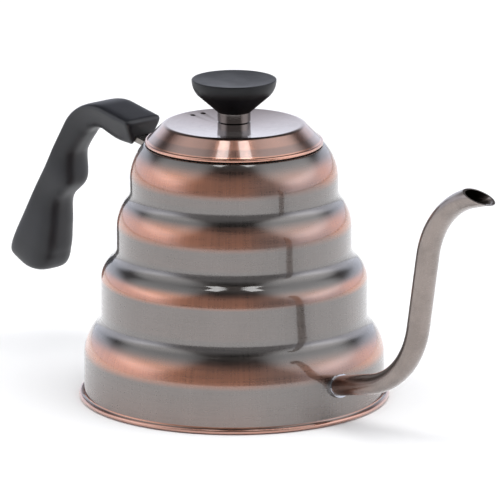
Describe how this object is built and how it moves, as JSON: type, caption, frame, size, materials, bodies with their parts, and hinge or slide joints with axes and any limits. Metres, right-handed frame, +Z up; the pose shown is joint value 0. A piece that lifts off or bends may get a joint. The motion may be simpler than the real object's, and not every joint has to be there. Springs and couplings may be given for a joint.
{
  "type": "gooseneck kettle",
  "caption": "Beehive-shaped stovetop gooseneck kettle with a lift-off lid, a bowl-shaped knob and an open black rear grip.",
  "frame": {"origin": "centre of the round base, on the surface that the kettle stands on", "axes": "+Z up along the body's axis, +X from the body's axis towards the spout, -X towards the handle"},
  "size_m": [0.3129, 0.1446, 0.1501],
  "materials": {
    "antique_copper": "antique copper plating on stainless steel, brushed and lacquered",
    "base_copper": "copper plating on a rolled stainless seam",
    "spout_bronze": "darkened copper plating on a drawn steel tube",
    "lid_copper": "antique copper plating on stainless steel, spun and lacquered",
    "polished_steel": "polished stainless steel",
    "satin_steel": "satin stainless steel",
    "turned_steel": "turned stainless steel",
    "screw_steel": "zinc-plated steel",
    "brass": "turned brass",
    "black_phenolic": "moulded black phenolic resin, satin"
  },
  "bodies": {
    "kettle": {"body_shell": "antique_copper", "base_pan": "base_copper", "spout_tube": "spout_bronze", "spout_ferrule": "polished_steel", "handle_bracket": "satin_steel", "handle_grip": "black_phenolic", "handle_inserts": "brass", "handle_screws": "screw_steel"},
    "lid": {"lid_cover": "lid_copper", "lid_skirt": "satin_steel", "knob": "black_phenolic", "knob_insert": "brass", "knob_collar_upper": "turned_steel", "knob_collar_lower": "turned_steel", "knob_screw": "screw_steel", "knob_washer": "screw_steel", "knob_lock_washer": "screw_steel"}
  },
  "joints": [
    {"name": "lid_lift", "type": "slide", "parent": "kettle", "child": "lid", "axis": [0, 0, 1], "range_m": [0, 0.06]}
  ]
}
